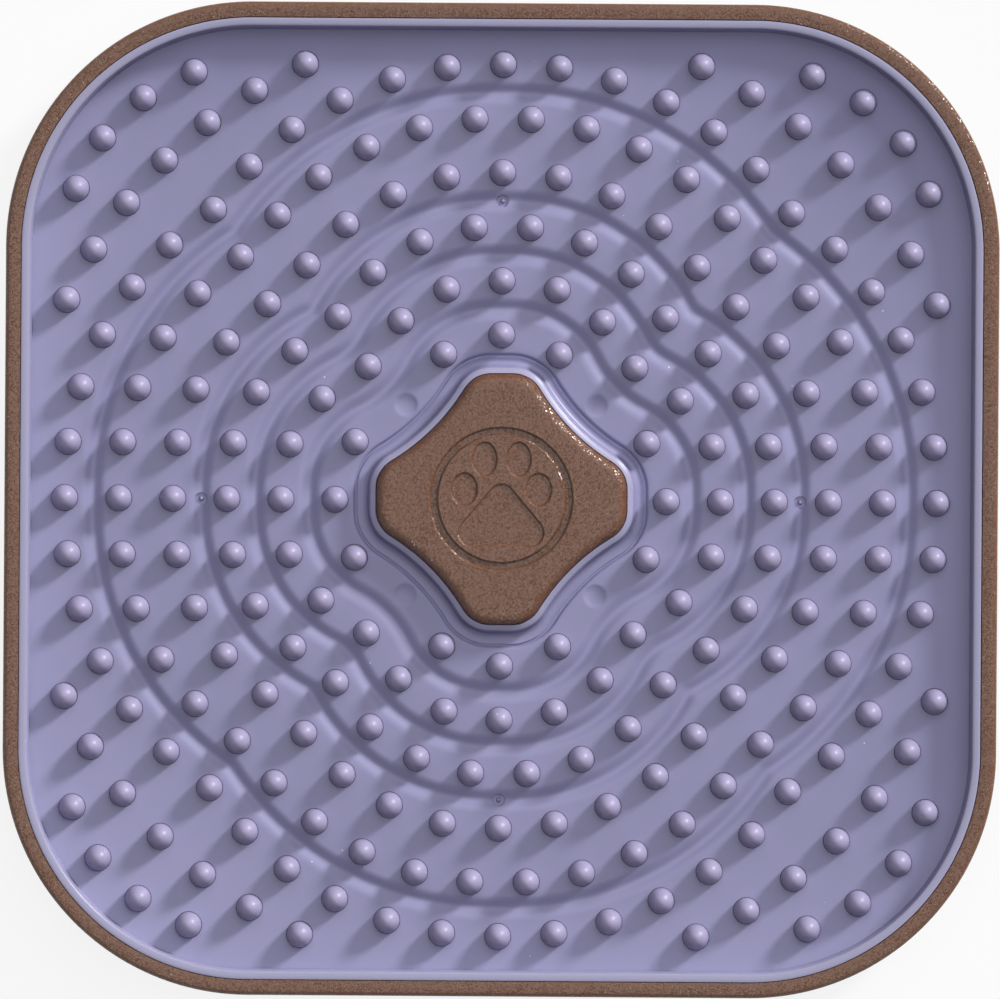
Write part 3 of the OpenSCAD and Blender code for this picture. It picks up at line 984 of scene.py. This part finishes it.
def makeTray():
    piece = loft("traySkin", trayLoops())
    skirt, under, seat = level["skirt"], level["underFloor"], level["seat"]
    rib = tray["ribWidth"] / 2
    start = tray["hubRadius"] + rib
    far = mat["halfWidth"] - tray["rimWidth"] / 2
    cups = [(east * tray["footPlace"], north * tray["footPlace"]) for east in (-1, 1) for north in (-1, 1)]
    nearCup = math.hypot(*cups[0]) - tray["cupRadius"] - rib
    added = []
    for step in range(8):
        # the ribs to the corners stop at the cups
        end = far if step % 2 == 0 else nearCup
        added.append(boxPiece("rib", (start, -rib, skirt), (end, rib, under + overlap), step * math.pi / 4))
    cup = tray["cupRadius"]
    wall = cup + 2 * rib
    section = [(cup, skirt), (wall, skirt), (wall, under + overlap), (cup, under + overlap)]
    added += [lathe("cup", section, tray["cupSides"], place) for place in cups]
    middle, socket = tray["socketMiddle"], tray["socketRadius"]
    wall = socket + tray["socketWall"]
    section = [(middle, skirt), (wall, skirt), (wall, seat), (middle, seat)]
    added += [lathe("socket", section, tray["socketSides"], place, False) for place in pegPlaces]
    combine(piece, added, "UNION")
    section = [(socket, seat - plate["pegLength"] - tray["socketRoom"]), (socket, seat + overcut)]
    holes = [lathe("hole", section, tray["socketSides"], place, False) for place in pegPlaces]
    section = [(cup, skirt - overcut), (cup, under)]
    holes += [lathe("hole", section, tray["cupSides"], place, False) for place in cups]
    combine(piece, holes, "DIFFERENCE")
    dropSlivers(piece)
    soften(piece, tray["sharpAngle"])
    dress(piece, trayPlastic, "tray", "base_tray")


makeTray()
print("tray ready")

# Feet: rubber discs with a hollow underneath

feet = {
    "radius": 10.0,
    "dishRadius": 7.0,
    "dishDepth": 0.6,
    "middle": 0.05,
    "edge": 0.4,
    "chamfer": 0.15,
    "sides": 96,
    "sharpAngle": 30,
}


def makeFoot(name, node, east, north):
    place = (east * tray["footPlace"], north * tray["footPlace"])
    radius, edge, dish, chamfer = (feet[key] for key in ("radius", "edge", "dishRadius", "chamfer"))
    top = level["underFloor"]
    section = [(feet["middle"], feet["dishDepth"])]
    section += [(dish * share, feet["dishDepth"] * (1 - share * share)) for share in (0.25, 0.5, 0.75, 0.9)]
    section += [(dish, 0.0), (radius - edge, 0.0)]
    for angle in np.radians((22.5, 45, 67.5, 90)):
        section.append((radius - edge + edge * math.sin(angle), edge - edge * math.cos(angle)))
    section += [(radius, top - chamfer), (radius - chamfer, top), (feet["middle"], top)]
    piece = lathe(name, section, feet["sides"], place, False)
    soften(piece, feet["sharpAngle"])
    dress(piece, footRubber, "tray", node)


makeFoot("footFrontLeft", "foot_front_left", -1, -1)
makeFoot("footFrontRight", "foot_front_right", 1, -1)
makeFoot("footBackLeft", "foot_back_left", -1, 1)
makeFoot("footBackRight", "foot_back_right", 1, 1)
print("feet ready")

# Floor, lamps and background

studio = {
    "keyStrength": 3.3,
    "keyColour": (1.0, 0.997, 0.99),
    "keyHeight": 20.0,
    "keyTurn": 41.5,
    "keySoftness": 11.0,
    "overheadStrength": 1.72,
    "overheadColour": (0.972, 0.985, 1.04),
    "overheadHeight": 66.0,
    "overheadTurn": 62.0,
    "overheadSoftness": 75.0,
    "skyStrength": 0.03,
    "floorPaint": (0.86, 0.86, 0.86, 1),
    "floorGlow": 0.86,
    "floorMiddle": 60.0,
    "floorRadius": 2500.0,
    "floorSides": 64,
}
white = (1, 1, 1, 1)


def makeLamp(name):
    lamp = bpy.data.objects.new(name, bpy.data.lights.new(name, "SUN"))
    lamp.data.energy = studio[name + "Strength"]
    lamp.data.color = studio[name + "Colour"]
    lamp.data.angle = math.radians(studio[name + "Softness"])
    up, turn = math.radians(studio[name + "Height"]), math.radians(studio[name + "Turn"])
    way = Vector((math.cos(up) * math.cos(turn), math.cos(up) * math.sin(turn), math.sin(up)))
    lamp.location = way
    lamp.rotation_euler = way.to_track_quat("Z", "Y").to_euler()
    bpy.context.scene.collection.objects.link(lamp)


def whiteToLens(desk):
    # 1 for what the lens sees straight on, in a gloss or through glass
    path = desk.put("ShaderNodeLightPath").socket.node.outputs
    seen = Wire(desk, path["Is Camera Ray"]) + Wire(desk, path["Is Glossy Ray"])
    seen = seen + Wire(desk, path["Is Transmission Ray"])
    return seen.calc("MINIMUM", 1.0)


def makeFloor():
    # a flat disc: the ring of faces and the middle, without the outer loop's own face
    radii = (studio["floorMiddle"], studio["floorRadius"])
    loops = [circleLoop(studio["floorSides"], radius, 0.0) for radius in radii]
    points, faces = loftParts(loops, False)
    floor = meshObject("studioFloor", points, faces[:-1])
    material, desk = newMaterial("studioFloorPaint")
    paint = desk.put("ShaderNodeBsdfDiffuse", None, {"Color": studio["floorPaint"]})
    glow = desk.put("ShaderNodeEmission", None, {"Color": white, "Strength": 1.0})
    mixed = {0: whiteToLens(desk) * studio["floorGlow"], 1: paint, 2: glow}
    closeMaterial(desk, desk.put("ShaderNodeMixShader", None, mixed))
    floor.data.materials.append(material)


def makeWorld():
    world = bpy.data.worlds.new("studio")
    world.use_nodes = True
    desk = Desk(world.node_tree)
    strength = studio["skyStrength"] + (1.0 - studio["skyStrength"]) * whiteToLens(desk)
    sky = desk.put("ShaderNodeBackground", None, {"Color": white, "Strength": strength})
    desk.put("ShaderNodeOutputWorld", None, {"Surface": sky})
    bpy.context.scene.world = world


makeLamp("key")
makeLamp("overhead")
makeFloor()
makeWorld()
bpy.context.scene.view_settings.view_transform = "Standard"
print("studio ready")
